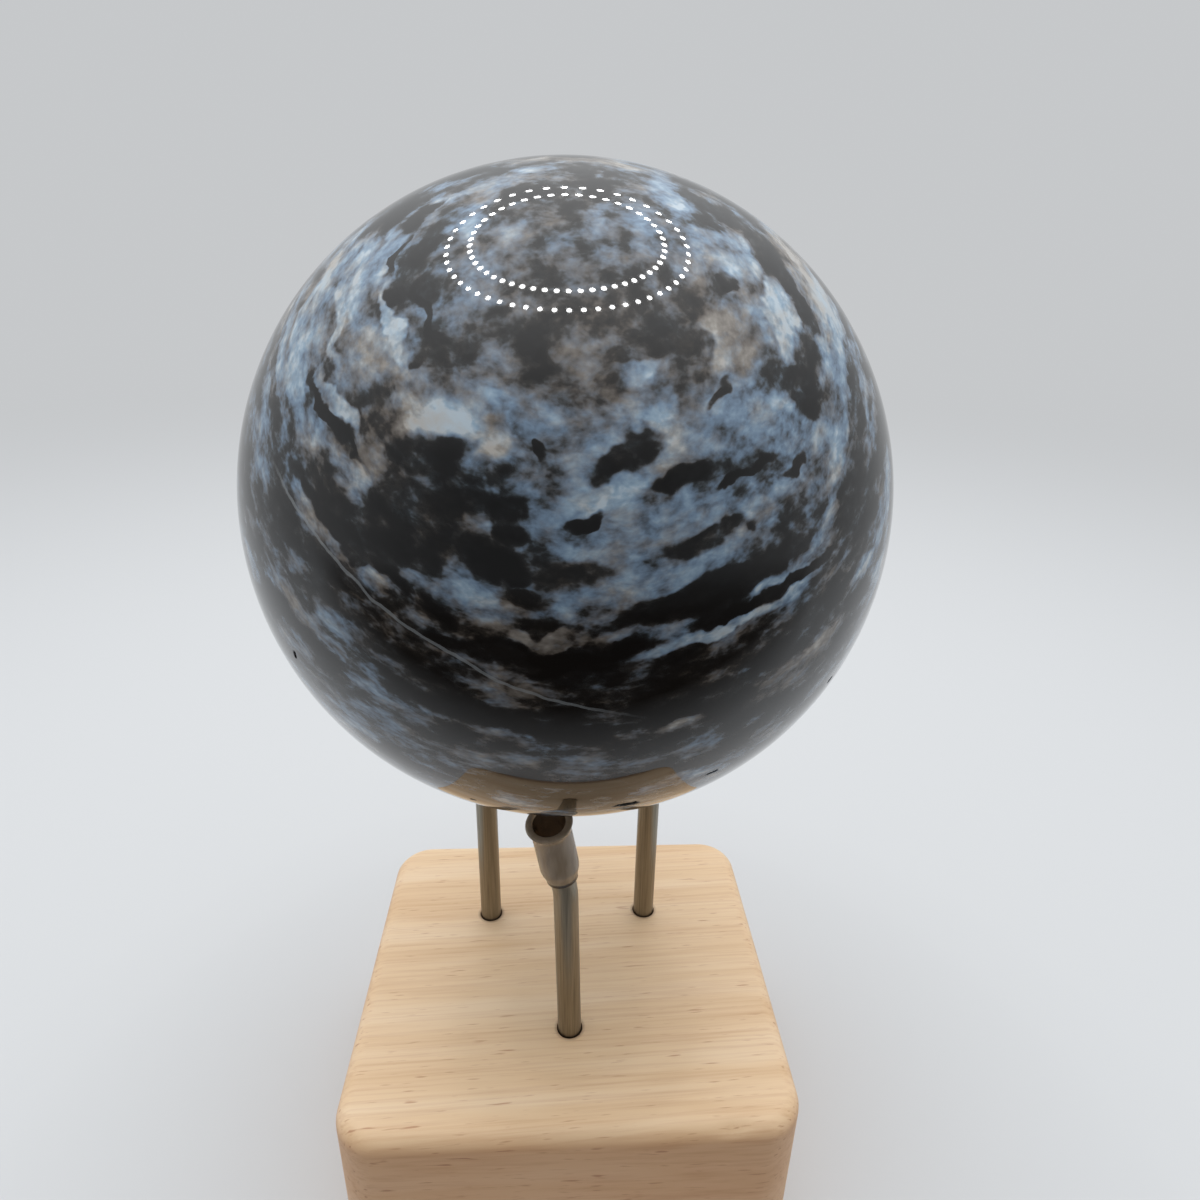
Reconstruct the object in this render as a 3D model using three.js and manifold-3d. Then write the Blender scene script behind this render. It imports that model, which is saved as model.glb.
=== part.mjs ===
// A polished stone sphere on its display stand: a maple block, three bent steel pins set in it, and a
// clear vinyl sleeve on each pin, whose open mouth carries the sphere.
// Millimetres, +Z up. The origin is on the table, under the middle of the sphere, and -Y is the front.
import * as THREE from "three";
import { mergeVertices } from "three/addons/utils/BufferGeometryUtils.js";
import Module from "manifold-3d";

// ---- Driving dimensions ----
const SPHERE_RADIUS = 31.5;

const BLOCK_WIDTH = 51.3; // along X
const BLOCK_DEPTH = 46.3; // along Y
const BLOCK_HEIGHT = 25.4;
const BLOCK_SHIFT_Y = -2.3; // the block's middle, in front of the middle of the pins
const CORNER_RADIUS = 5; // its upright corners
const EDGE_RADIUS = 2; // its rounded-over edges, above and below

const PIN_CIRCLE_RADIUS = 12.35; // the three pins stand evenly on this circle
const PINS = [
  // degrees about +Z from the front, and degrees that each leans sideways where it leaves the block
  { name: "front", turn: 0, rake: 1.4 },
  { name: "back_right", turn: 120, rake: 0 },
  { name: "back_left", turn: 240, rake: 0 },
];
const ROD_RADIUS = 1.38;
const HOLE_DEPTH = 12;
const BEND_HEIGHT = 20.3; // where it starts to bend, above the block
const BEND_RADIUS = 10;
const LEAN = THREE.MathUtils.degToRad(8.9); // further lean above the bend
const SLEEVE_START = 1.2; // along the pin, from the end of the bend to the sleeve
const ROD_IN_SLEEVE = 3.9;

const SLEEVE_LENGTH = 8.2;
const SLEEVE_LIP_RADIUS = 1.74; // its lower end, shrunk on to the rod
const SLEEVE_BODY_RADIUS = 2.15;
const MOUTH_RADIUS = 2.53; // outside of the flared mouth
const MOUTH_BORE_RADIUS = 1.75;
const SHOULDER_LENGTH = 1.9; // from the lower end to the full body
const FLARE_LENGTH = 1.6; // from the body to the mouth
const LIP_ROUND = 0.15; // rounding of the rims
const CURL_LENGTH = 4.1; // the free end of the sleeve that the sphere presses outward
const CURL = THREE.MathUtils.degToRad(16);

const FIT_GAP = 0.15; // between pieces that touch
const UP = new THREE.Vector3(0, 0, 1);
const MM_CLEAR = 1; // how far a cutter reaches past the face it cuts

// ---- Facets ----
const SPHERE_SEGMENTS = [60, 36];
const ROD_SIDES = 14;
const ROD_STEPS = 24;
const SLEEVE_SIDES = 20;
const SLEEVE_STEPS = 5; // rings along the curled stretch
const CORNER_SEGMENTS = 6;
const EDGE_SEGMENTS = 4;

// ---- Materials ----
const material = (color, roughness, metalness = 0, rest = {}) =>
  new THREE.MeshStandardMaterial({ color, roughness, metalness, ...rest });
const STONE = material(0x3d434c, 0.12);
const MAPLE = material(0xdcc19a, 0.6);
const STEEL = material(0x8e8266, 0.3, 1);
const VINYL = material(0xc9b79a, 0.35, 0, { transparent: true, opacity: 0.6 });

// ---- Joining and cutting ----
const manifold = await Module();
manifold.setup();

function solidOf(geometry) {
  const bare = geometry.clone().deleteAttribute("normal").deleteAttribute("uv");
  const merged = mergeVertices(bare, 1e-4);
  return new manifold.Manifold(
    new manifold.Mesh({
      numProp: 3,
      vertProperties: merged.attributes.position.array,
      triVerts: new Uint32Array(merged.index.array),
    }),
  );
}

function geometryOf(solid) {
  const mesh = solid.getMesh();
  const geometry = new THREE.BufferGeometry();
  geometry.setAttribute("position", new THREE.BufferAttribute(mesh.vertProperties, 3));
  geometry.setIndex(new THREE.BufferAttribute(mesh.triVerts, 1));
  geometry.computeVertexNormals();
  return geometry;
}

function named(name, geometry, finish) {
  const mesh = new THREE.Mesh(geometry, finish);
  mesh.name = name;
  return mesh;
}

// ---- The block ----
function roundedRectangle(width, depth, radius) {
  const x = width / 2 - radius;
  const y = depth / 2 - radius;
  const quarter = Math.PI / 2;
  const shape = new THREE.Shape();
  shape.absarc(x, y, radius, 0, quarter);
  shape.absarc(-x, y, radius, quarter, 2 * quarter);
  shape.absarc(-x, -y, radius, 2 * quarter, 3 * quarter);
  shape.absarc(x, -y, radius, 3 * quarter, 4 * quarter);
  shape.closePath();
  return shape;
}

// An empty group at the foot of each pin, on the block's top: its Z runs up the pin, and it leans to its -X.
function pinFrames() {
  return PINS.map(({ name, turn, rake }) => {
    const foot = new THREE.Vector3(0, -PIN_CIRCLE_RADIUS, BLOCK_HEIGHT);
    const angle = THREE.MathUtils.degToRad(turn);
    const frame = new THREE.Group();
    frame.name = name;
    frame.rotation.set(0, -THREE.MathUtils.degToRad(rake), angle, "ZYX");
    frame.position.copy(foot.applyAxisAngle(UP, angle));
    frame.updateMatrix();
    return frame;
  });
}

function makeBlock() {
  const outline = roundedRectangle(BLOCK_WIDTH, BLOCK_DEPTH, CORNER_RADIUS);
  const body = new THREE.ExtrudeGeometry(outline, {
    depth: BLOCK_HEIGHT - 2 * EDGE_RADIUS,
    curveSegments: CORNER_SEGMENTS,
    bevelThickness: EDGE_RADIUS,
    bevelSize: EDGE_RADIUS,
    bevelOffset: -EDGE_RADIUS,
    bevelSegments: EDGE_SEGMENTS,
  }).translate(0, BLOCK_SHIFT_Y, EDGE_RADIUS);
  let block = solidOf(body);
  const hole = ROD_RADIUS + FIT_GAP;
  for (const frame of pinFrames()) {
    const drill = new THREE.CylinderGeometry(hole, hole, HOLE_DEPTH + MM_CLEAR, ROD_SIDES)
      .rotateX(Math.PI / 2)
      .translate(0, 0, (MM_CLEAR - HOLE_DEPTH) / 2)
      .applyMatrix4(frame.matrix);
    block = block.subtract(solidOf(drill));
  }
  return named("maple_block", geometryOf(block), MAPLE);
}

// ---- A pin: straight up its frame's Z, round one gentle bend towards -X, and straight on ----
function pinLine() {
  const bendStart = new THREE.Vector3(0, 0, BEND_HEIGHT);
  const tangentLength = BEND_RADIUS * Math.tan(LEAN / 2);
  const knee = new THREE.Vector3(0, 0, BEND_HEIGHT + tangentLength);
  const onward = new THREE.Vector3(-Math.sin(LEAN), 0, Math.cos(LEAN));
  const along = (distance) => knee.clone().addScaledVector(onward, distance);
  const path = new THREE.CurvePath();
  path.add(new THREE.LineCurve3(new THREE.Vector3(0, 0, FIT_GAP - HOLE_DEPTH), bendStart));
  path.add(new THREE.QuadraticBezierCurve3(bendStart, knee, along(tangentLength)));
  path.add(
    new THREE.LineCurve3(along(tangentLength), along(tangentLength + SLEEVE_START + ROD_IN_SLEEVE)),
  );
  return { path, sleeveFoot: along(tangentLength + SLEEVE_START) };
}

function makeRod(name, path) {
  const section = new THREE.Shape().absarc(0, 0, ROD_RADIUS, 0, 2 * Math.PI);
  const rod = new THREE.ExtrudeGeometry(section, {
    steps: ROD_STEPS,
    curveSegments: ROD_SIDES / 2,
    extrudePath: path,
  });
  return named(name, rod, STEEL);
}

// ---- A sleeve: an open tube, shrunk on to the rod below and flared at its mouth ----
function sleeveProfile() {
  const bore = ROD_RADIUS + FIT_GAP;
  const bodyEnd = SLEEVE_LENGTH - FLARE_LENGTH;
  const curlStart = SLEEVE_LENGTH - CURL_LENGTH;
  const points = [
    [bore, 0],
    [SLEEVE_LIP_RADIUS - LIP_ROUND, 0],
    [SLEEVE_LIP_RADIUS, LIP_ROUND],
  ];
  const bulge = SLEEVE_BODY_RADIUS - SLEEVE_LIP_RADIUS;
  for (const share of [0.3, 0.6, 1]) {
    const height = LIP_ROUND + share * (SHOULDER_LENGTH - LIP_ROUND);
    points.push([SLEEVE_LIP_RADIUS + bulge * Math.sin((share * Math.PI) / 2), height]);
  }
  for (let step = 0; step <= SLEEVE_STEPS; step++) {
    const height = curlStart + (step / SLEEVE_STEPS) * (CURL_LENGTH - LIP_ROUND);
    const flare = Math.max(0, (height - bodyEnd) / (FLARE_LENGTH - LIP_ROUND));
    points.push([SLEEVE_BODY_RADIUS + (MOUTH_RADIUS - SLEEVE_BODY_RADIUS) * flare ** 2, height]);
  }
  points.push([MOUTH_RADIUS - LIP_ROUND, SLEEVE_LENGTH]);
  points.push([MOUTH_BORE_RADIUS + LIP_ROUND, SLEEVE_LENGTH]);
  for (let step = SLEEVE_STEPS; step >= 0; step--) {
    const height = curlStart + (step / SLEEVE_STEPS) * (CURL_LENGTH - LIP_ROUND);
    points.push([bore + ((MOUTH_BORE_RADIUS - bore) * step) / SLEEVE_STEPS, height]);
  }
  points.push(points[0]);
  return points.map(([radius, height]) => new THREE.Vector2(radius, height));
}

// Curls what lies above height start towards -Y, round an arc of the given length and angle.
function curl(geometry, start, length, angle) {
  const radius = length / angle;
  const place = geometry.attributes.position;
  for (let i = 0; i < place.count; i++) {
    const rise = place.getZ(i) - start;
    if (rise <= 0) continue;
    const reach = radius + place.getY(i);
    place.setY(i, reach * Math.cos(rise / radius) - radius);
    place.setZ(i, start + reach * Math.sin(rise / radius));
  }
  return geometry;
}

function makeSleeve(name, foot) {
  const tube = new THREE.LatheGeometry(sleeveProfile(), SLEEVE_SIDES).rotateX(Math.PI / 2);
  const sleeve = named(name, curl(tube, SLEEVE_LENGTH - CURL_LENGTH, CURL_LENGTH, CURL), VINYL);
  sleeve.position.copy(foot);
  sleeve.rotation.y = -LEAN;
  return sleeve;
}

function makePins() {
  const pins = new THREE.Group();
  for (const frame of pinFrames()) {
    const { path, sleeveFoot } = pinLine();
    frame.add(makeRod(`pin_${frame.name}`, path), makeSleeve(`sleeve_${frame.name}`, sleeveFoot));
    pins.add(frame);
  }
  return pins;
}

// ---- The sphere ----
// The height of its middle when it rests on whatever stands highest under it.
function seatedHeight(support) {
  const reach = SPHERE_RADIUS + FIT_GAP;
  const point = new THREE.Vector3();
  let height = 0;
  support.updateMatrixWorld(true);
  support.traverse((piece) => {
    if (!piece.isMesh) return;
    const place = piece.geometry.attributes.position;
    for (let i = 0; i < place.count; i++) {
      point.fromBufferAttribute(place, i).applyMatrix4(piece.matrixWorld);
      height = Math.max(height, point.z + Math.sqrt(reach ** 2 - point.x ** 2 - point.y ** 2));
    }
  });
  return height;
}

function makeSphere(height) {
  const ball = new THREE.SphereGeometry(SPHERE_RADIUS, ...SPHERE_SEGMENTS).rotateX(Math.PI / 2);
  return named("stone_sphere", ball.translate(0, 0, height), STONE);
}

const part = new THREE.Group();
const pins = makePins();
part.add(makeBlock(), pins, makeSphere(seatedHeight(pins)));

export default part;
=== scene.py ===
"""The looks of a polished gabbro sphere on its display stand: a maple block, three bent steel pins and a
clear vinyl sleeve on each pin. Metres, +Z up, -Y is the front; sizes below are in millimetres."""

import math

import bmesh
import bpy
from mathutils import Matrix, Vector, noise


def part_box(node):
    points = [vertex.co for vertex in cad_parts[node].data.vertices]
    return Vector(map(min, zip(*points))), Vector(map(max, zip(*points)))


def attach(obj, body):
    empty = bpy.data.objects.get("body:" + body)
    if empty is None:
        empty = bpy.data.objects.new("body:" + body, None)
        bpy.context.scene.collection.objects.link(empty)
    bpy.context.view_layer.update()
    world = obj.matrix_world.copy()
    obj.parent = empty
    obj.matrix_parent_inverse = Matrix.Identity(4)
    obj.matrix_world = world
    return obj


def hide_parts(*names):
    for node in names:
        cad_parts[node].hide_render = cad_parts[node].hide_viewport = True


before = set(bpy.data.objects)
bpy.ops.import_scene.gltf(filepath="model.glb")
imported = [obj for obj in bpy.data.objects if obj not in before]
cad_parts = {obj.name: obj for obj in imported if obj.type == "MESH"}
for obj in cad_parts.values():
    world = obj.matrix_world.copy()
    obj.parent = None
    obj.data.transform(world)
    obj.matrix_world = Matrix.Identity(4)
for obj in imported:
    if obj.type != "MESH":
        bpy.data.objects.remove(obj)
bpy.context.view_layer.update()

MM = 0.001
UP = Vector((0, 0, 1))

# ---- Sizes of the stand, in millimetres ----
PIN_CIRCLE_RADIUS = 12.35
PINS = (
    # name, degrees about +Z from the front, degrees of sideways lean where it leaves the block
    ("front", 0, 1.4),
    ("back_right", 120, 0),
    ("back_left", 240, 0),
)
ROD_RADIUS = 1.38
HOLE_DEPTH = 12
BEND_HEIGHT = 20.3
BEND_RADIUS = 10
LEAN = math.radians(8.9)
SLEEVE_START = 1.2
ROD_IN_SLEEVE = 3.9
FIT_GAP = 0.15

CORNER_RADIUS = 5
EDGE_RADIUS = 2
# Small knocks on the top edge: x, then how far behind the front and below the top, reach and depth.
DENTS = ((17.2, 0.5, 0.5, 1.3, 0.3), (19.0, 0.9, 0.3, 0.9, 0.16), (-19.6, 1.6, 0.9, 1.4, 0.28))

SLEEVE_LENGTH = 8.2
SLEEVE_LIP_RADIUS = 1.74
SLEEVE_BODY_RADIUS = 2.15
MOUTH_RADIUS = 2.53
MOUTH_BORE_RADIUS = 1.75
SHOULDER_LENGTH = 1.9
FLARE_LENGTH = 1.6
RIM_ROUND = 0.28
CURL_LENGTH = 4.1
CURL = math.radians(16)


def finished(name, bm, material):
    """The piece called name from a bmesh in millimetres, smooth-shaded, in one material."""
    bmesh.ops.recalc_face_normals(bm, faces=bm.faces)
    bm.transform(Matrix.Scale(MM, 4))
    mesh = bpy.data.meshes.new(name)
    bm.to_mesh(mesh)
    bm.free()
    mesh.materials.append(material)
    mesh.shade_smooth()
    piece = bpy.data.objects.new(name, mesh)
    bpy.context.scene.collection.objects.link(piece)
    return piece


def plain_mesh(piece):
    """Turns what the piece's modifiers make into its own mesh, and removes them."""
    evaluated = piece.evaluated_get(bpy.context.evaluated_depsgraph_get())
    mesh = bpy.data.meshes.new_from_object(evaluated)
    piece.modifiers.clear()
    piece.data = mesh


def colour(hexa):
    """A linear colour from an sRGB hex value."""
    channels = [int(hexa[i : i + 2], 16) / 255 for i in (1, 3, 5)]
    return (*[c / 12.92 if c <= 0.04045 else ((c + 0.055) / 1.055) ** 2.4 for c in channels], 1)


def add(tree, kind, inputs=None, stops=(), **settings):
    """Adds a node with its settings. inputs gives a socket, by name or number, a value, a link or a node,
    whose first output is meant. stops gives a colour ramp its positions and hex colours."""
    node = tree.nodes.new(kind)
    for name, value in settings.items():
        setattr(node, name, value)
    for key, value in (inputs or {}).items():
        if isinstance(value, bpy.types.Node):
            value = value.outputs[0]
        if isinstance(value, bpy.types.NodeSocket):
            tree.links.new(value, node.inputs[key])
        else:
            node.inputs[key].default_value = value
    if stops:
        elements = node.color_ramp.elements
        while len(elements) < len(stops):
            elements.new(1)
        for element, (position, hexa) in zip(elements, stops):
            element.position = position
            element.color = colour(hexa)
    return node


def new_material(name):
    material = bpy.data.materials.new(name)
    material.use_nodes = True
    tree = material.node_tree
    return material, tree, tree.nodes["Principled BSDF"]


# ---- The stone's looks ----
# The stone's layers stand square to an axis that leans this far up from the front.
LAYER_AXIS = math.radians(48)
# Where its minerals lie: degrees from that axis, degrees round it from the front (+ to the right),
# half-height and half-width of the patch in the same degrees, and its turn in degrees.
LENSES = (
    ("taupe", 8, 0, 9, 180, 0), ("taupe", 18, -30, 5, 60, 0), ("taupe", 20, 60, 6, 40, 0),
    ("smoke", 56, -70, 7, 45, 0), ("smoke", 54, 68, 5, 14, 0), ("smoke", 46, 70, 2, 12, 0),
    ("umber", 57, 0, 4, 40, 0), ("smoke", 74, 0, 8, 60, 0),
    ("blue", 28, 20, 7, 34, 0), ("blue", 36, 5, 6, 34, 0), ("blue", 43, 0, 4, 30, 0),
    ("blue", 30, -84, 9, 30, 0), ("blue", 40, -80, 3, 20, 0), ("blue", 24, 80, 6, 20, 0),
    ("blue", 21.5, -20, 1.8, 14, 0), ("blue", 22, 25, 1.4, 9, 0), ("blue", 17, 22, 1.2, 9, 0),
    ("blue", 27.5, 38, 3, 11, 0), ("blue", 29.5, 5, 2.2, 9, 0), ("blue", 35.5, 2, 1.6, 7, 0),
    ("blue", 36, 24, 2.5, 9, 0), ("blue", 42, -20, 2.5, 8, 0), ("blue", 43, 14, 2, 13, 0),
    ("blue", 27.5, -108, 1.8, 9, 0), ("blue", 45.5, -88, 2, 16, 0), ("blue", 40, 80, 2.5, 20, 0),
    ("bone", 26, -26, 2.6, 4, 0), ("bone", 48.5, -4, 1.2, 7, 0), ("bone", 22, 62, 3.5, 9, 0),
    ("bone", 28, -70, 2.2, 8, 0), ("pale", 28.5, 86, 1.8, 15, -1.5), ("pale", 22, 106, 4, 14, 0),
    ("pale", 36, -64, 0.9, 10, 0), ("pale", 24, -76, 0.9, 16, 1), ("pale", 33, -92, 1, 20, 0.75),
    ("pale", 41, -96, 1.4, 10, 0), ("pale", 52.6, 26, 0.9, 13, 0), ("pale", 41, 100, 2, 12, 0),
    ("black", 25.5, 11, 1.9, 8, -3.5), ("black", 31, 23, 1.5, 6, 0), ("black", 34.4, 38, 0.7, 9, 1),
    ("black", 40.5, 26, 1.5, 9, 0), ("black", 47, 25, 2, 20, -1), ("black", 51.6, -6, 1.6, 19, 0),
    ("black", 51, 36, 0.9, 16, 0.5), ("black", 36, -37, 7, 9, 0), ("black", 31, -31, 3, 4, 0),
    ("black", 42, -36, 3.6, 7, 0), ("black", 33, -15, 3.2, 5, 0), ("black", 39, -17, 2, 7, 0),
    ("black", 46.8, -46, 1.1, 16, 0.25), ("black", 24.5, -11, 1, 2.4, 0), ("black", 32.5, 3, 1, 4, 0),
    ("umber", 39.8, 0, 2.4, 8, 0), ("umber", 46.5, -8, 1.3, 3, 0), ("umber", 42.5, -11, 1.2, 5, 0),
    ("black", 19.6, -72, 0.8, 22, 0.25), ("black", 22.6, -88, 1.1, 4, 0), ("black", 24.2, -103, 0.7, 8, 0),
    ("black", 25, -122, 1.4, 9, 0), ("umber", 21.6, -53, 1.1, 6, 0), ("black", 37.6, -64, 0.7, 13, 0),
    ("smoke", 19, 85, 2.2, 9, 0), ("black", 21, 86, 1.2, 6, 0), ("umber", 19.5, 50, 2.2, 7, 0),
    ("umber", 16, 42, 1.4, 10, 0), ("smoke", 31.8, 86, 1.1, 17, -3), ("umber", 35, 64, 2, 4, 0),
    ("umber", 38.4, 51, 0.8, 5, 0), ("umber", 25, 49, 0.7, 5, 0), ("black", 62.5, 2, 2.3, 30, 0),
    ("smoke", 46.8, -88, 0.9, 20, 0),
)
# A patch is full within its core and gone at its rim, as shares of its half-height and half-width.
PATCH_CORE = 0.75
PATCH_RIM = 1.4
# How dense a patch is over what lies under it. Broad patches, which only tint, let more through.
SMALL_PATCH_COVER = 0.85
BROAD_PATCH_COVER = 0.5
BROAD_PATCH_HALF_HEIGHT = 4
# (tone, warmth) of each mineral: tone runs from black to pale, warmth from slate blue to brown.
MINERALS = {
    "black": (0.06, 0.3), "umber": (0.26, 0.8), "smoke": (0.37, 0.3), "taupe": (0.48, 0.55),
    "bone": (0.74, 1.0), "blue": (0.73, 0.08), "pale": (0.95, 0.2),
}
COOL_TONES = (
    (0.0, "#070708"), (0.26, "#121315"), (0.39, "#23272a"), (0.46, "#414950"), (0.54, "#5b6a7b"),
    (0.7, "#7990a8"), (0.88, "#9ab1c4"), (1.0, "#bccbd6"),
)
WARM_TONES = (
    (0.0, "#080707"), (0.26, "#161413"), (0.39, "#2c2824"), (0.46, "#48423d"), (0.54, "#605a54"),
    (0.7, "#7d7771"), (0.88, "#9c9790"), (1.0, "#bab6b0"),
)
# The stone's patterns are in sphere radii of 31.5 mm: a scale is how many features lie in one radius.
# The layers sway in swirls of about 16 and 4 mm, less along their axis than across it.
SWAYS = ((2.0, (0.16, 0.16, 0.08)), (8.0, (0.15, 0.15, 0.06)))
LAYER_FLATNESS = 2.6
BLOTCH_SCALE = 4.2
HUE_SCALE = 3.0
HUE_SHIFT = (7.3, 2.1, 5.7)
# Grains of about 6, 2.6 and 1 mm: the scale, and how far it moves the tone and the warmth.
GRAIN_FLATNESS = 2.2
GRAINS = ((5.5, 0.2, 0.25), (12.0, 0.22, 0.4), (34.0, 0.09, 0.2))

# A pale hairline crack, healed with mineral, lies in a plane square to this direction, that far from
# the sphere's middle and that thick to each side. It shows for some degrees to each side of a middle.
VEIN_FACES = (0.311, 0.193, 0.931)
VEIN_OFFSET = 0.315
VEIN_HALF_THICKNESS = 0.0038
VEIN_MIDDLE = -30.0
VEIN_END = 42.0
VEIN_FADE = 28.0

# Natural pits: degrees from the layers' axis and round it, half-width in millimetres, length over width,
# turn in degrees, and depth in millimetres.
PITS = (
    (78.6, 19, 0.32, 1.3, 15, 0.35), (83.8, 22.2, 0.22, 2.4, 10, 0.3), (88.2, 8.5, 0.5, 2.0, 5, 0.5),
    (76.5, -46.7, 0.32, 1.3, 60, 0.35), (74.6, -49.1, 0.24, 1.8, 70, 0.3), (81.2, 47, 0.3, 1.2, 80, 0.3),
    (89.9, -20.9, 0.24, 1.5, 10, 0.3), (90.8, -16.2, 0.2, 1.8, 20, 0.25),
    (60, 150, 0.35, 1.6, 30, 0.4), (100, 120, 0.3, 1.3, 70, 0.3), (118, -150, 0.4, 1.7, 0, 0.4),
)
# How far from the middle the painted shade and the rougher, unpolished floor inside a pit start, and where
# they are full.
PIT_SHADE_START = 0.9988
PIT_SHADE_FULL = 0.9965


def layered_place(tree):
    """The point on the stone, in sphere radii from its middle, with Z along the layers' axis."""
    low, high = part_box("stone_sphere")
    radius = (high.z - low.z) / 2
    place = add(tree, "ShaderNodeTexCoord").outputs["Object"]
    place = add(tree, "ShaderNodeVectorMath", {0: place, 1: (0, 0, high.z - radius)}, operation="SUBTRACT")
    return add(tree, "ShaderNodeMapping", {
        "Vector": place,
        "Rotation": (LAYER_AXIS - math.radians(90), 0, 0),
        "Scale": (1 / radius,) * 3,
    })


def wander(tree, place, scale, size):
    """The place, pushed about by a noise of that scale and size (a vector)."""
    cloud = add(tree, "ShaderNodeTexNoise", {
        "Vector": place, "Scale": scale, "Detail": 3.0, "Roughness": 0.55,
    })
    shift = add(tree, "ShaderNodeVectorMath", {
        0: cloud.outputs["Color"], 1: (0.5, 0.5, 0.5),
    }, operation="SUBTRACT")
    return add(tree, "ShaderNodeVectorMath", {0: shift, 1: size, 2: place}, operation="MULTIPLY_ADD")


def polar_place(tree, place):
    """(degrees round the layers' axis, degrees from it, 0)."""
    unit = add(tree, "ShaderNodeVectorMath", {0: place}, operation="NORMALIZE")
    part = add(tree, "ShaderNodeSeparateXYZ", {0: unit})
    front = add(tree, "ShaderNodeMath", {0: part.outputs["Y"], 1: -1.0}, operation="MULTIPLY")
    turn = add(tree, "ShaderNodeMath", {0: part.outputs["X"], 1: front}, operation="ARCTAN2")
    tilt = add(tree, "ShaderNodeMath", {0: part.outputs["Z"]}, operation="ARCCOSINE")
    round_axis = add(tree, "ShaderNodeMath", {0: turn}, operation="DEGREES")
    from_axis = add(tree, "ShaderNodeMath", {0: tilt}, operation="DEGREES")
    return add(tree, "ShaderNodeCombineXYZ", {0: round_axis, 1: from_axis})


def with_lenses(tree, state, polar):
    """The state (tone, warmth) with each mineral lens laid over it, fading out at its rim."""
    for mineral, height, turn_round, half_height, half_width, turn in LENSES:
        local = add(tree, "ShaderNodeMapping", {
            "Vector": polar,
            "Location": (turn_round, height, 0),
            "Rotation": (0, 0, math.radians(turn)),
            "Scale": (half_width, half_height, 1),
        }, vector_type="TEXTURE")
        reach = add(tree, "ShaderNodeVectorMath", {0: local}, operation="LENGTH")
        broad = half_height >= BROAD_PATCH_HALF_HEIGHT
        cover = add(tree, "ShaderNodeMapRange", {
            "Value": reach.outputs["Value"],
            "From Min": PATCH_RIM,
            "From Max": PATCH_CORE,
            "To Max": BROAD_PATCH_COVER if broad else SMALL_PATCH_COVER,
        }, interpolation_type="SMOOTHSTEP")
        state = add(tree, "ShaderNodeMix", {
            0: cover, 4: state, 5: (*MINERALS[mineral], 0),
        }, data_type="VECTOR").outputs[1]
    return state


def nudged(tree, value, cloud, reach):
    """The value, moved up or down by the cloud, by at most reach."""
    shift = add(tree, "ShaderNodeMapRange", {
        "Value": cloud, "From Min": 0.3, "From Max": 0.7, "To Min": -reach, "To Max": reach,
    })
    return add(tree, "ShaderNodeMath", {0: value, 1: shift}, operation="ADD")


def vein_cover(tree, place):
    """How much the pale vein covers a point, 0 to 1: thin and faint, over the front left only."""
    wavy = wander(tree, place, 7.0, (0.035, 0.035, 0.035))
    across = add(tree, "ShaderNodeVectorMath", {0: wavy, 1: VEIN_FACES}, operation="DOT_PRODUCT")
    inside = add(tree, "ShaderNodeMath", {
        0: across.outputs["Value"], 1: VEIN_OFFSET, 2: VEIN_HALF_THICKNESS,
    }, operation="COMPARE")
    part = add(tree, "ShaderNodeSeparateXYZ", {0: polar_place(tree, place)})
    aside = add(tree, "ShaderNodeMath", {0: part.outputs["X"], 1: VEIN_MIDDLE}, operation="SUBTRACT")
    aside = add(tree, "ShaderNodeMath", {0: aside}, operation="ABSOLUTE")
    ends = add(tree, "ShaderNodeMapRange", {
        "Value": aside, "From Min": VEIN_END, "From Max": VEIN_FADE, "To Max": 0.42,
    }, interpolation_type="SMOOTHSTEP")
    return add(tree, "ShaderNodeMath", {0: inside, 1: ends}, operation="MULTIPLY")


def layered_minerals(tree, place):
    """The stone's own tone and warmth before its grain: blotches in swaying layers, under the lenses."""
    swayed = place
    for scale, size in SWAYS:
        swayed = wander(tree, swayed, scale, size)
    flat = add(tree, "ShaderNodeVectorMath", {0: swayed, 1: (1, 1, LAYER_FLATNESS)}, operation="MULTIPLY")
    blotches = add(tree, "ShaderNodeTexNoise", {
        "Vector": flat, "Scale": BLOTCH_SCALE, "Detail": 4.0, "Roughness": 0.55,
    })
    tone = add(tree, "ShaderNodeMapRange", {"Value": blotches, "From Min": 0.34, "From Max": 0.68})
    elsewhere = add(tree, "ShaderNodeVectorMath", {0: flat, 1: HUE_SHIFT}, operation="ADD")
    hues = add(tree, "ShaderNodeTexNoise", {"Vector": elsewhere, "Scale": HUE_SCALE, "Detail": 3.0})
    warmth = add(tree, "ShaderNodeMapRange", {"Value": hues, "From Min": 0.38, "From Max": 0.62})
    state = add(tree, "ShaderNodeCombineXYZ", {0: tone, 1: warmth})
    return add(tree, "ShaderNodeSeparateXYZ", {0: with_lenses(tree, state, polar_place(tree, swayed))})


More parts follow.
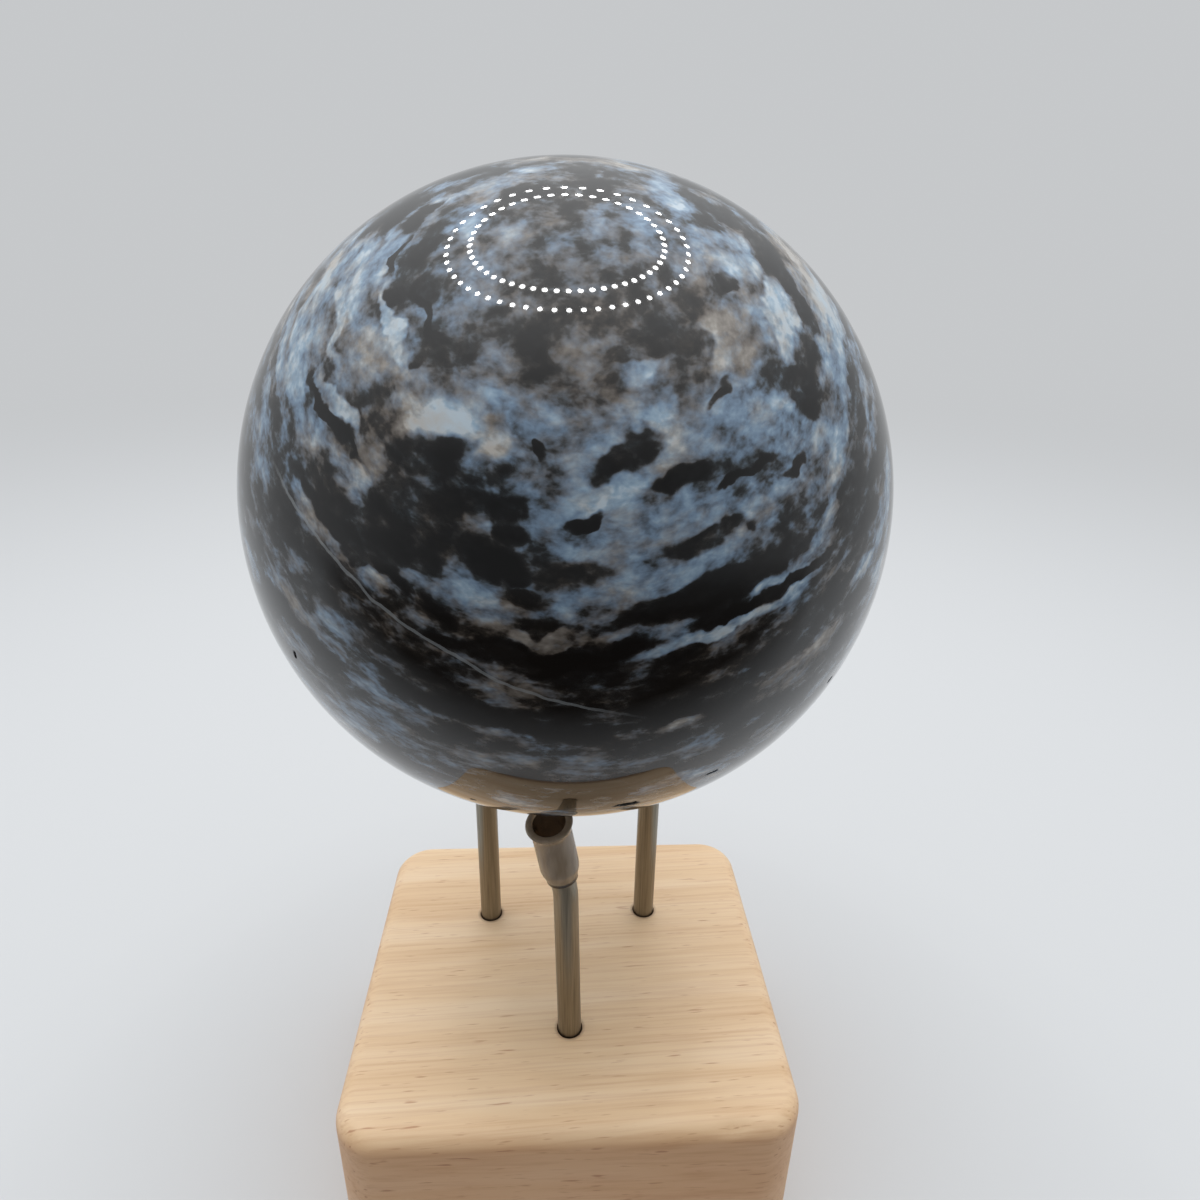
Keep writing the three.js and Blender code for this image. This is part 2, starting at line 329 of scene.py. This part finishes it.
def polished_gabbro():
    """Indigo gabbro, ground and polished to a mirror: black, umber and slate-blue minerals in wavy layers."""
    material, tree, shader = new_material("polished_indigo_gabbro")
    place = layered_place(tree)
    minerals = layered_minerals(tree, place)
    tone = minerals.outputs[0]
    warmth = minerals.outputs[1]
    grainy = add(tree, "ShaderNodeVectorMath", {0: place, 1: (1, 1, GRAIN_FLATNESS)}, operation="MULTIPLY")
    for scale, tone_reach, warmth_reach in GRAINS:
        grain = add(tree, "ShaderNodeTexNoise", {
            "Vector": grainy, "Scale": scale, "Detail": 3.0, "Roughness": 0.6, "Distortion": 0.25,
        })
        parted = add(tree, "ShaderNodeSeparateColor", {0: grain.outputs["Color"]})
        tone = nudged(tree, tone, parted.outputs[0], tone_reach)
        warmth = nudged(tree, warmth, parted.outputs[1], warmth_reach)
    warmth = add(tree, "ShaderNodeClamp", {0: warmth})
    cool = add(tree, "ShaderNodeValToRGB", {0: tone}, COOL_TONES)
    warm = add(tree, "ShaderNodeValToRGB", {0: tone}, WARM_TONES)
    body = add(tree, "ShaderNodeMix", {0: warmth, 6: cool, 7: warm}, data_type="RGBA")
    body = add(tree, "ShaderNodeMix", {
        0: vein_cover(tree, place), 6: body.outputs[2], 7: colour("#a3a9ad"),
    }, data_type="RGBA")
    from_middle = add(tree, "ShaderNodeVectorMath", {0: place}, operation="LENGTH")
    pit = add(tree, "ShaderNodeMapRange", {
        "Value": from_middle.outputs["Value"], "From Min": PIT_SHADE_START, "From Max": PIT_SHADE_FULL,
    })
    # Painted shade darkens the colour inside the pits; their rougher floor, on the next line, is real.
    body = add(tree, "ShaderNodeMix", {0: pit, 6: body.outputs[2], 7: colour("#0f0d0c")}, data_type="RGBA")
    rough = add(tree, "ShaderNodeMapRange", {"Value": pit, "To Min": 0.03, "To Max": 0.65})
    tree.links.new(body.outputs[2], shader.inputs["Base Color"])
    tree.links.new(rough.outputs[0], shader.inputs["Roughness"])
    shader.inputs["IOR"].default_value = 1.5
    return material


# ---- The stand's looks ----
# A pattern's scale here is in features per millimetre along X, Y and Z.
GRAIN_TILT = -2.5
GROWTH_BANDS = (0.02, 0.3, 0.16)
GRAIN_LINES = (0.045, 2.1, 1.5)
FLECKS = (0.3, 3.2, 2.4)
DRAWN_STREAKS = (5.0, 5.0, 0.12)
VINYL_HAZE = (1.2, 1.2, 0.35)


def in_millimetres(tree, scale=(1, 1, 1), turn=0.0):
    """The piece's own coordinates in millimetres, turned about +Z and then scaled."""
    place = add(tree, "ShaderNodeTexCoord").outputs["Object"]
    turned = add(tree, "ShaderNodeMapping", {"Vector": place, "Rotation": (0, 0, math.radians(turn))})
    size = tuple(share / MM for share in scale)
    return add(tree, "ShaderNodeVectorMath", {0: turned, 1: size}, operation="MULTIPLY")


def shaded(tree, body, cover, hexa):
    """The body colour multiplied by a darker one, by the cover."""
    return add(tree, "ShaderNodeMix", {
        0: cover, 6: body, 7: colour(hexa),
    }, data_type="RGBA", blend_type="MULTIPLY").outputs[2]


def sanded_maple():
    """Maple, sanded and oiled: fine grain lines along the block, soft growth bands and short reddish
    flecks. The sides, sawn across the growth bands, are painted a little darker than the top: painted
    shade, with some of the sawn sides' warmer tone."""
    material, tree, shader = new_material("sanded_maple")
    bands = add(tree, "ShaderNodeTexNoise", {
        "Vector": in_millimetres(tree, GROWTH_BANDS, GRAIN_TILT),
        "Scale": 1.0, "Detail": 3.0, "Roughness": 0.6, "Distortion": 0.4,
    })
    body = add(tree, "ShaderNodeValToRGB", {0: bands}, ((0.3, "#e6c298"), (0.5, "#efcfa8"), (0.7, "#f4d8b5")))
    lines = add(tree, "ShaderNodeTexNoise", {
        "Vector": in_millimetres(tree, GRAIN_LINES, GRAIN_TILT),
        "Scale": 1.0, "Detail": 4.0, "Roughness": 0.62,
    })
    line = add(tree, "ShaderNodeMapRange", {
        "Value": lines, "From Min": 0.46, "From Max": 0.78, "To Max": 0.32,
    })
    body = shaded(tree, body, line, "#c48e66")
    flecks = add(tree, "ShaderNodeTexNoise", {
        "Vector": in_millimetres(tree, FLECKS, GRAIN_TILT), "Scale": 1.0, "Detail": 1.0,
    })
    fleck = add(tree, "ShaderNodeMapRange", {
        "Value": flecks, "From Min": 0.66, "From Max": 0.78, "To Max": 0.5,
    })
    body = shaded(tree, body, fleck, "#b0663f")
    # Painted shade: faces that turn away from the top are darkened, with some of the sawn sides' warmer tone.
    facing = add(tree, "ShaderNodeSeparateXYZ", {0: add(tree, "ShaderNodeTexCoord").outputs["Normal"]})
    side = add(tree, "ShaderNodeMapRange", {
        "Value": facing.outputs["Z"], "From Min": 0.75, "From Max": 0.1, "To Max": 0.5,
    })
    body = shaded(tree, body, side, "#d3a67c")
    # A painted shadow round the foot of each pin.
    for _, turn, _ in PINS:
        body = shadowed_round_pin_foot(tree, body, turn)
    tree.links.new(body, shader.inputs["Base Color"])
    fibres = add(tree, "ShaderNodeBump", {"Strength": 0.25, "Distance": 0.04 * MM, "Height": lines})
    tree.links.new(fibres.outputs[0], shader.inputs["Normal"])
    shader.inputs["Roughness"].default_value = 0.52
    return material


def shadowed_round_pin_foot(tree, body, turn):
    """The wood's colour, darkened in a narrow ring round the foot of the pin at that turn: a painted shadow
    where the pin goes into its hole.
    """
    foot = pin_matrix(turn, 0).translation
    away = add(tree, "ShaderNodeVectorMath", {0: in_millimetres(tree), 1: foot}, operation="SUBTRACT")
    away = add(tree, "ShaderNodeVectorMath", {0: away}, operation="LENGTH")
    pin_foot_shadow = add(tree, "ShaderNodeMapRange", {
        "Value": away.outputs["Value"],
        "From Min": ROD_RADIUS + 0.6,
        "From Max": ROD_RADIUS + 0.1,
        "To Max": 0.45,
    }, interpolation_type="SMOOTHSTEP")
    return shaded(tree, body, pin_foot_shadow, "#6b4a33")


def bare_steel():
    """Bare steel rod, drawn and wiped along its length, dulled, with fine streaks; its grey is tinted brown,
    a painted reflection of the warm wood around it.
    """
    material, tree, shader = new_material("bare_steel")
    streaks = add(tree, "ShaderNodeTexNoise", {
        "Vector": in_millimetres(tree, DRAWN_STREAKS), "Scale": 1.0, "Detail": 3.0, "Roughness": 0.6,
    })
    # Painted reflection: the brown tint in these greys stands in for the warm wood that the steel mirrors.
    body = add(tree, "ShaderNodeValToRGB", {
        0: streaks,
    }, ((0.3, "#7a7468"), (0.5, "#8a8375"), (0.7, "#989183")))
    tree.links.new(body.outputs[0], shader.inputs["Base Color"])
    worn = add(tree, "ShaderNodeMapRange", {"Value": streaks, "To Min": 0.28, "To Max": 0.44})
    tree.links.new(worn.outputs[0], shader.inputs["Roughness"])
    shader.inputs["Metallic"].default_value = 1.0
    return material


def clear_vinyl():
    """Clear vinyl tube, extruded, gone slightly amber and hazy, with painted shade down its bore."""
    material, tree, shader = new_material("clear_vinyl")
    haze = add(tree, "ShaderNodeTexNoise", {
        "Vector": in_millimetres(tree, VINYL_HAZE), "Scale": 1.0, "Detail": 3.0,
    })
    body = add(tree, "ShaderNodeValToRGB", {0: haze}, ((0.35, "#b49d82"), (0.65, "#c9b49a")))
    bore = add(tree, "ShaderNodeAttribute", attribute_name="bore").outputs["Fac"]
    # Painted shade: the colour of the bore's faces is multiplied by a dark brown.
    tree.links.new(shaded(tree, body, bore, "#3b2f27"), shader.inputs["Base Color"])
    cloudy = add(tree, "ShaderNodeMapRange", {"Value": haze, "To Min": 0.12, "To Max": 0.34})
    tree.links.new(cloudy.outputs[0], shader.inputs["Roughness"])
    shader.inputs["Transmission Weight"].default_value = 0.45
    shader.inputs["IOR"].default_value = 1.5
    return material


# ---- The block ----
def block_outline(inset, low, high, corner_steps, side_steps):
    """The block's outline seen from above, set in by inset, as points that go round it once."""
    radius = max(CORNER_RADIUS - inset, 0.4)
    points = []
    centre = (low + high) / 2
    half = (high - low) / 2 - Vector((inset + radius, inset + radius, 0))
    corners = ((1, 1), (-1, 1), (-1, -1), (1, -1))
    for quarter, (x, y) in enumerate(corners):
        middle = centre + Vector((x * half.x, y * half.y, 0))
        for step in range(corner_steps + 1):
            angle = math.radians(90) * (quarter + step / corner_steps)
            points.append(middle + radius * Vector((math.cos(angle), math.sin(angle), 0)))
        x2, y2 = corners[(quarter + 1) % 4]
        start = points[-1]
        ahead = math.radians(90) * (quarter + 1)
        end = centre + Vector((x2 * half.x, y2 * half.y, 0))
        end += radius * Vector((math.cos(ahead), math.sin(ahead), 0))
        points += [start.lerp(end, step / side_steps) for step in range(1, side_steps)]
    return points


def block_levels(height, edge_steps, side_steps):
    """(inset, height) of each ring up the block's side, from inside its underside to inside its top."""
    levels = []
    for step in range(edge_steps + 1):
        angle = math.radians(90) * step / edge_steps
        levels.append((EDGE_RADIUS * (1 - math.sin(angle)), EDGE_RADIUS * (1 - math.cos(angle))))
    side = height - 2 * EDGE_RADIUS
    sides = [(0, EDGE_RADIUS + side * step / side_steps) for step in range(1, side_steps)]
    return levels + sides + [(inset, height - rise) for inset, rise in reversed(levels)]


def pin_matrix(turn, rake):
    """Where a pin's own frame stands: its Z runs up the pin, and it leans to its -X."""
    place = Matrix.Rotation(math.radians(turn), 4, "Z")
    foot = Matrix.Translation((0, -PIN_CIRCLE_RADIUS, block_top))
    return place @ foot @ Matrix.Rotation(-math.radians(rake), 4, "Y")


def make_block(material):
    """The block: rings of points up its side, knocked in at the dents, and drilled for the pins."""
    low, high = [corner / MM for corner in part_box("maple_block")]
    bm = bmesh.new()
    rings = []
    for inset, height in block_levels(high.z - low.z, edge_steps=8, side_steps=26):
        outline = block_outline(inset, low, high, corner_steps=12, side_steps=48)
        rings.append([bm.verts.new((point.x, point.y, low.z + height)) for point in outline])
    for ring, above in zip(rings, rings[1:]):
        for i in range(len(ring)):
            j = (i + 1) % len(ring)
            bm.faces.new((ring[i], ring[j], above[j], above[i]))
    bm.faces.new(rings[0][::-1])
    bm.faces.new(rings[-1])
    inward = Vector((0, 0.7, -0.7))
    for x, behind, below, reach, depth in DENTS:
        spot = Vector((x, low.y + behind, high.z - below))
        for vert in bm.verts:
            near = max(0, 1 - (vert.co - spot).length / reach)
            vert.co += inward * depth * near * near * (3 - 2 * near)
    drills = bmesh.new()
    for _, turn, rake in PINS:
        place = pin_matrix(turn, rake) @ Matrix.Translation((0, 0, 0.5 - HOLE_DEPTH / 2))
        bmesh.ops.create_cone(
            drills, cap_ends=True, segments=48, radius1=ROD_RADIUS + FIT_GAP,
            radius2=ROD_RADIUS + FIT_GAP, depth=HOLE_DEPTH + 1, matrix=place,
        )
    drill = finished("drill", drills, material)
    piece = finished("block", bm, material)
    cut = piece.modifiers.new("pin holes", "BOOLEAN")
    cut.operation = "DIFFERENCE"
    cut.solver = "EXACT"
    cut.object = drill
    plain_mesh(piece)
    bpy.data.objects.remove(drill)
    piece.data.set_sharp_from_angle(angle=math.radians(40))
    return piece


# ---- The pins ----
def pin_line():
    """The pin's knee, the direction above it, and the length of its bend's tangent, in its own frame."""
    tangent = BEND_RADIUS * math.tan(LEAN / 2)
    knee = Vector((0, 0, BEND_HEIGHT + tangent))
    onward = Vector((-math.sin(LEAN), 0, math.cos(LEAN)))
    return knee, onward, tangent


def rod_tree():
    """A rod swept along straight line, gentle bend and straight line, with named inputs for its sizes."""
    tree = bpy.data.node_groups.new("bent_rod", "GeometryNodeTree")
    sizes = (
        ("Radius", ROD_RADIUS), ("Bury", HOLE_DEPTH - FIT_GAP), ("Knee", 1.0),
        ("Bend radius", BEND_RADIUS), ("Lean", LEAN), ("Above knee", 1.0),
    )
    for name, value in sizes:
        tree.interface.new_socket(name, in_out="INPUT", socket_type="NodeSocketFloat").default_value = value
    tree.interface.new_socket("Finish", in_out="INPUT", socket_type="NodeSocketMaterial")
    tree.interface.new_socket("Geometry", in_out="OUTPUT", socket_type="NodeSocketGeometry")
    given = add(tree, "NodeGroupInput").outputs
    buried = add(tree, "ShaderNodeMath", {0: given["Bury"], 1: -1.0}, operation="MULTIPLY")
    foot = add(tree, "ShaderNodeCombineXYZ", {2: buried})
    knee = add(tree, "ShaderNodeCombineXYZ", {2: given["Knee"]})
    lean_sine = add(tree, "ShaderNodeMath", {0: given["Lean"]}, operation="SINE")
    lean_cosine = add(tree, "ShaderNodeMath", {0: given["Lean"]}, operation="COSINE")
    sideways = add(tree, "ShaderNodeMath", {0: lean_sine, 1: given["Above knee"]}, operation="MULTIPLY")
    leftward = add(tree, "ShaderNodeMath", {0: sideways, 1: -1.0}, operation="MULTIPLY")
    rise = add(tree, "ShaderNodeMath", {0: lean_cosine, 1: given["Above knee"]}, operation="MULTIPLY")
    height = add(tree, "ShaderNodeMath", {0: given["Knee"], 1: rise}, operation="ADD")
    tip = add(tree, "ShaderNodeCombineXYZ", {0: leftward, 2: height})
    below = add(tree, "GeometryNodeCurvePrimitiveLine", {"Start": foot, "End": knee})
    above = add(tree, "GeometryNodeCurvePrimitiveLine", {"Start": knee, "End": tip})
    joined = add(tree, "GeometryNodeJoinGeometry")
    for stretch in (above, below):
        edge = add(tree, "GeometryNodeCurveToMesh", {"Curve": stretch})
        tree.links.new(edge.outputs[0], joined.inputs[0])
    merged = add(tree, "GeometryNodeMergeByDistance", {"Geometry": joined, "Distance": 1e-3})
    line = add(tree, "GeometryNodeMeshToCurve", {"Mesh": merged})
    bend = add(tree, "GeometryNodeFilletCurve", {
        "Curve": line, "Radius": given["Bend radius"], "Count": 10,
    }, mode="POLY")
    section = add(tree, "GeometryNodeCurvePrimitiveCircle", {"Resolution": 40, "Radius": given["Radius"]})
    rod = add(tree, "GeometryNodeCurveToMesh", {"Curve": bend, "Profile Curve": section, "Fill Caps": True})
    real = add(tree, "GeometryNodeRealizeInstances", {"Geometry": rod})
    dressed = add(tree, "GeometryNodeSetMaterial", {"Geometry": real, "Material": given["Finish"]})
    add(tree, "NodeGroupOutput", {"Geometry": dressed})
    return tree


def make_rod(name, tree, place, material):
    """One pin, bent by the geometry nodes and then set in its place."""
    piece = bpy.data.objects.new(name, bpy.data.meshes.new(name))
    bpy.context.scene.collection.objects.link(piece)
    knee, _, tangent = pin_line()
    bent = piece.modifiers.new("bent rod", "NODES")
    bent.node_group = tree
    inputs = {item.name: item.identifier for item in tree.interface.items_tree if item.in_out == "INPUT"}
    bent[inputs["Knee"]] = knee.z
    bent[inputs["Above knee"]] = tangent + SLEEVE_START + ROD_IN_SLEEVE
    bent[inputs["Finish"]] = material
    plain_mesh(piece)
    piece.data.transform(Matrix.Scale(MM, 4) @ place)
    piece.data.shade_smooth()
    piece.data.set_sharp_from_angle(angle=math.radians(40))
    return piece


# ---- The sleeves ----
def sleeve_profile():
    """(radius, height) points round the sleeve's wall: up the outside, over the rim and down the bore."""
    bore = ROD_RADIUS + FIT_GAP
    body_end = SLEEVE_LENGTH - FLARE_LENGTH
    bulge = SLEEVE_BODY_RADIUS - SLEEVE_LIP_RADIUS
    rim_width = MOUTH_RADIUS - MOUTH_BORE_RADIUS
    points = [(bore, 0.06), (bore + 0.06, 0)]
    for step in range(4):
        angle = math.radians(90) * step / 3
        corner = 0.12
        points.append((SLEEVE_LIP_RADIUS - corner * (1 - math.sin(angle)), corner * (1 - math.cos(angle))))
    for step in range(1, 9):
        share = step / 8
        ease = (1 - math.cos(math.pi * share)) / 2
        points.append((SLEEVE_LIP_RADIUS + bulge * ease, 0.12 + share * (SHOULDER_LENGTH - 0.12)))
    top = SLEEVE_LENGTH - RIM_ROUND
    steps = 24
    for step in range(1, steps + 1):
        height = SHOULDER_LENGTH + (top - SHOULDER_LENGTH) * step / steps
        flare = max(0, (height - body_end) / (SLEEVE_LENGTH - RIM_ROUND - body_end))
        points.append((SLEEVE_BODY_RADIUS + (MOUTH_RADIUS - SLEEVE_BODY_RADIUS) * flare**2, height))
    for step in range(1, 9):
        angle = math.pi * step / 9
        middle = MOUTH_RADIUS - rim_width / 2
        points.append((middle + rim_width / 2 * math.cos(angle), top + RIM_ROUND * math.sin(angle)))
    bottom = SHOULDER_LENGTH
    for step in range(steps + 1):
        share = step / steps
        height = top + (bottom - top) * share
        points.append((MOUTH_BORE_RADIUS + (bore - MOUTH_BORE_RADIUS) * share, height))
    return points


def curled(point):
    """Where a point of the straight sleeve goes when its free end is bent outward."""
    start = SLEEVE_LENGTH - CURL_LENGTH
    rise = point.z - start
    if rise <= 0:
        return point
    radius = CURL_LENGTH / CURL
    reach = radius + point.y
    angle = rise / radius
    return Vector((point.x, reach * math.cos(angle) - radius, start + reach * math.sin(angle)))


def make_sleeve(name, place, material):
    """A sleeve's wall, turned from its profile and curled; the attribute bore is 1 on its inner face, where
    the vinyl gets its painted shade.
    """
    sides = 56
    bm = bmesh.new()
    in_bore = bm.verts.layers.float.new("bore")
    rings = []
    for radius, height in sleeve_profile():
        inside = radius < MOUTH_BORE_RADIUS + 0.02 and height < SLEEVE_LENGTH - RIM_ROUND + 0.01
        ring = []
        for side in range(sides):
            angle = 2 * math.pi * side / sides
            vert = bm.verts.new(curled(Vector((radius * math.cos(angle), radius * math.sin(angle), height))))
            vert[in_bore] = float(inside)
            ring.append(vert)
        rings.append(ring)
    for ring, onward in zip(rings, rings[1:] + rings[:1]):
        for i in range(sides):
            j = (i + 1) % sides
            bm.faces.new((ring[i], ring[j], onward[j], onward[i]))
    knee, onward, tangent = pin_line()
    foot = knee + onward * (tangent + SLEEVE_START)
    bm.transform(place @ Matrix.Translation(foot) @ Matrix.Rotation(-LEAN, 4, "Y"))
    return finished(name, bm, material)


# ---- The sphere ----
# How far past a pit each round of finer mesh goes, in millimetres.
PIT_MESH_MARGINS = (1.6, 0.9, 0.4)


def stone_direction(from_axis, round_axis):
    """The direction from the sphere's middle to a spot given in the layers' degrees."""
    tilt, turn = math.radians(from_axis), math.radians(round_axis)
    local = Vector((math.sin(tilt) * math.sin(turn), -math.sin(tilt) * math.cos(turn), math.cos(tilt)))
    return Matrix.Rotation(math.radians(90) - LAYER_AXIS, 3, "X") @ local


def sink_pit(bm, radius, pit):
    """Refines the sphere's mesh round a pit, and lowers it there to a ragged hollow."""
    from_axis, round_axis, half_width, stretch, turn, depth = pit
    out = stone_direction(from_axis, round_axis)
    side = UP.cross(out).normalized()
    up = out.cross(side)
    turn = math.radians(turn)
    along = math.cos(turn) * side + math.sin(turn) * up
    across = out.cross(along)
    reach = half_width * stretch * 1.6
    for extra in PIT_MESH_MARGINS:
        near = [f for f in bm.faces if (f.calc_center_median() - out * radius).length < reach + extra]
        edges = list(dict.fromkeys(edge for face in near for edge in face.edges))
        bmesh.ops.subdivide_edges(bm, edges=edges, cuts=1, use_grid_fill=True)
        bmesh.ops.triangulate(bm, faces=[face for face in bm.faces if len(face.verts) > 3])
    for vert in bm.verts:
        if (vert.co - out * radius).length > reach + 3:
            continue
        point = vert.co.normalized() * radius
        ragged = 1 + 0.45 * noise.noise(point * 2.6) + 0.2 * noise.noise(point * 7)
        from_middle = Vector((point.dot(along) / stretch, point.dot(across))).length / half_width * ragged
        steep = min(1, max(0, (1.15 - from_middle) / 0.5))
        uneven = 0.8 + 0.5 * noise.noise(point * 5)
        vert.co = point.normalized() * (radius - depth * uneven * steep * steep * (3 - 2 * steep))


def make_sphere(material):
    """The sphere, with its natural pits."""
    low, high = [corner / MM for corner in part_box("stone_sphere")]
    radius = (high.z - low.z) / 2
    bm = bmesh.new()
    bmesh.ops.create_icosphere(bm, subdivisions=7, radius=radius)
    for pit in PITS:
        sink_pit(bm, radius, pit)
    bm.transform(Matrix.Translation((0, 0, high.z - radius)))
    return finished("sphere", bm, material)


block_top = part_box("maple_block")[1].z / MM

stone = polished_gabbro()
maple = sanded_maple()
steel = bare_steel()
vinyl = clear_vinyl()

pieces = [(make_sphere(stone), "stone_sphere", "polished_stone"), (make_block(maple), "maple_block", "maple")]
rod_nodes = rod_tree()
for name, turn, rake in PINS:
    place = pin_matrix(turn, rake)
    pieces.append((make_rod(f"rod_{name}", rod_nodes, place, steel), f"pin_{name}", "steel_rod"))
    pieces.append((make_sleeve(f"tube_{name}", place, vinyl), f"sleeve_{name}", "clear_vinyl"))
for piece, node, slot in pieces:
    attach(piece, "root")
    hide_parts(node)


# ---- Floor, light and camera ----
HORIZON = "#c2c4c6"
ZENITH = "#f4f5f6"
TENT_STRENGTH = 1.05
CEILING_STRENGTH = 1.65
# In metres: the floor turns dark between these two places in front, and to haze between these two reaches.
DARK_FRONT = -0.09
LIGHT_FRONT = -0.03
HAZE_START = 0.15
HAZE_FULL = 0.7
FLOOR_RADIUS = 6 / MM

RING_MIDDLE = Vector((-0.005, 0.08, 0.45))
RING_RADII = (0.145, 0.188)
LAMPS_IN_RING = 48
LAMP_SIZE = 0.009
LAMP_POWER = 0.009


def open_front(tree, walls, coordinates):
    """The tent's wall colour, darker in the direction of its open front."""
    place = add(tree, "ShaderNodeTexCoord").outputs[coordinates]
    ahead = add(tree, "ShaderNodeVectorMath", {0: place}, operation="NORMALIZE")
    part = add(tree, "ShaderNodeSeparateXYZ", {0: ahead})
    front = add(tree, "ShaderNodeMapRange", {
        "Value": part.outputs["Y"], "From Min": -0.95, "From Max": -0.1, "To Min": 0.4,
    }, interpolation_type="SMOOTHSTEP")
    return add(tree, "ShaderNodeMix", {
        0: 1.0, 6: walls, 7: front,
    }, data_type="RGBA", blend_type="MULTIPLY").outputs[2]


def make_floor():
    """A pale floor, dark in front of the stand, that turns to the walls' light further off."""
    bm = bmesh.new()
    bmesh.ops.create_circle(bm, cap_ends=True, segments=96, radius=FLOOR_RADIUS)
    material, tree, shader = new_material("pale_floor")
    shader.inputs["Roughness"].default_value = 0.6
    place = add(tree, "ShaderNodeTexCoord").outputs["Object"]
    reach = add(tree, "ShaderNodeVectorMath", {0: place}, operation="LENGTH")
    far = add(tree, "ShaderNodeMapRange", {
        "Value": reach.outputs["Value"], "From Min": HAZE_START, "From Max": HAZE_FULL,
    }, interpolation_type="SMOOTHSTEP")
    part = add(tree, "ShaderNodeSeparateXYZ", {0: place})
    lit = add(tree, "ShaderNodeMapRange", {
        "Value": part.outputs["Y"], "From Min": DARK_FRONT, "From Max": LIGHT_FRONT,
    })
    top = add(tree, "ShaderNodeMix", {
        0: lit, 6: colour("#33291f"), 7: colour("#c8cacc"),
    }, data_type="RGBA")
    tree.links.new(top.outputs[2], shader.inputs["Base Color"])
    walls = open_front(tree, colour(HORIZON), "Object")
    haze = add(tree, "ShaderNodeEmission", {"Color": walls, "Strength": TENT_STRENGTH})
    mixed = add(tree, "ShaderNodeMixShader", {0: far, 1: shader, 2: haze})
    tree.links.new(mixed.outputs[0], tree.nodes["Material Output"].inputs["Surface"])
    finished("floor", bm, material)


def make_lamp(name, place):
    """A small bright disc that faces down."""
    data = bpy.data.lights.new(name, "AREA")
    data.shape = "DISK"
    data.size = LAMP_SIZE
    data.energy = LAMP_POWER
    lamp = bpy.data.objects.new(name, data)
    lamp.location = place
    bpy.context.scene.collection.objects.link(lamp)


def make_ring_light():
    """Two rings of small lamps over and a little behind the sphere."""
    for radius in RING_RADII:
        for step in range(LAMPS_IN_RING):
            angle = 2 * math.pi * step / LAMPS_IN_RING
            place = RING_MIDDLE + radius * Vector((math.cos(angle), math.sin(angle), 0))
            make_lamp(f"ring lamp {radius} {step}", place)


def make_world():
    """A light tent: even pale walls, brighter overhead, and darker where its front is open."""
    world = bpy.data.worlds.new("light tent")
    world.use_nodes = True
    tree = world.node_tree
    background = tree.nodes["Background"]
    part = add(tree, "ShaderNodeSeparateXYZ", {0: add(tree, "ShaderNodeTexCoord").outputs["Generated"]})
    walls = add(tree, "ShaderNodeValToRGB", {
        0: part.outputs["Z"],
    }, ((0.0, HORIZON), (0.35, HORIZON), (0.9, ZENITH)))
    tree.links.new(open_front(tree, walls, "Generated"), background.inputs["Color"])
    ceiling = add(tree, "ShaderNodeMapRange", {
        "Value": part.outputs["Z"], "From Min": 0.4, "From Max": 0.95,
        "To Min": TENT_STRENGTH, "To Max": CEILING_STRENGTH,
    })
    tree.links.new(ceiling.outputs[0], background.inputs["Strength"])
    bpy.context.scene.world = world


def make_camera():
    data = bpy.data.cameras.new("camera")
    data.lens = 24
    data.sensor_width = 36
    data.clip_start = 0.005
    camera = bpy.data.objects.new("camera", data)
    heading, pitch, roll = math.radians(3.35), math.radians(23.29), math.radians(1.19)
    camera.matrix_world = (
        Matrix.Translation((-0.00139, -0.08026, 0.1105))
        @ Matrix.Rotation(-heading, 4, "Z")
        @ Matrix.Rotation(math.radians(90) - pitch, 4, "X")
        @ Matrix.Rotation(roll, 4, "Z")
    )
    bpy.context.scene.collection.objects.link(camera)
    bpy.context.scene.camera = camera


make_floor()
make_ring_light()
make_world()
make_camera()
bpy.context.scene.view_settings.view_transform = "Standard"
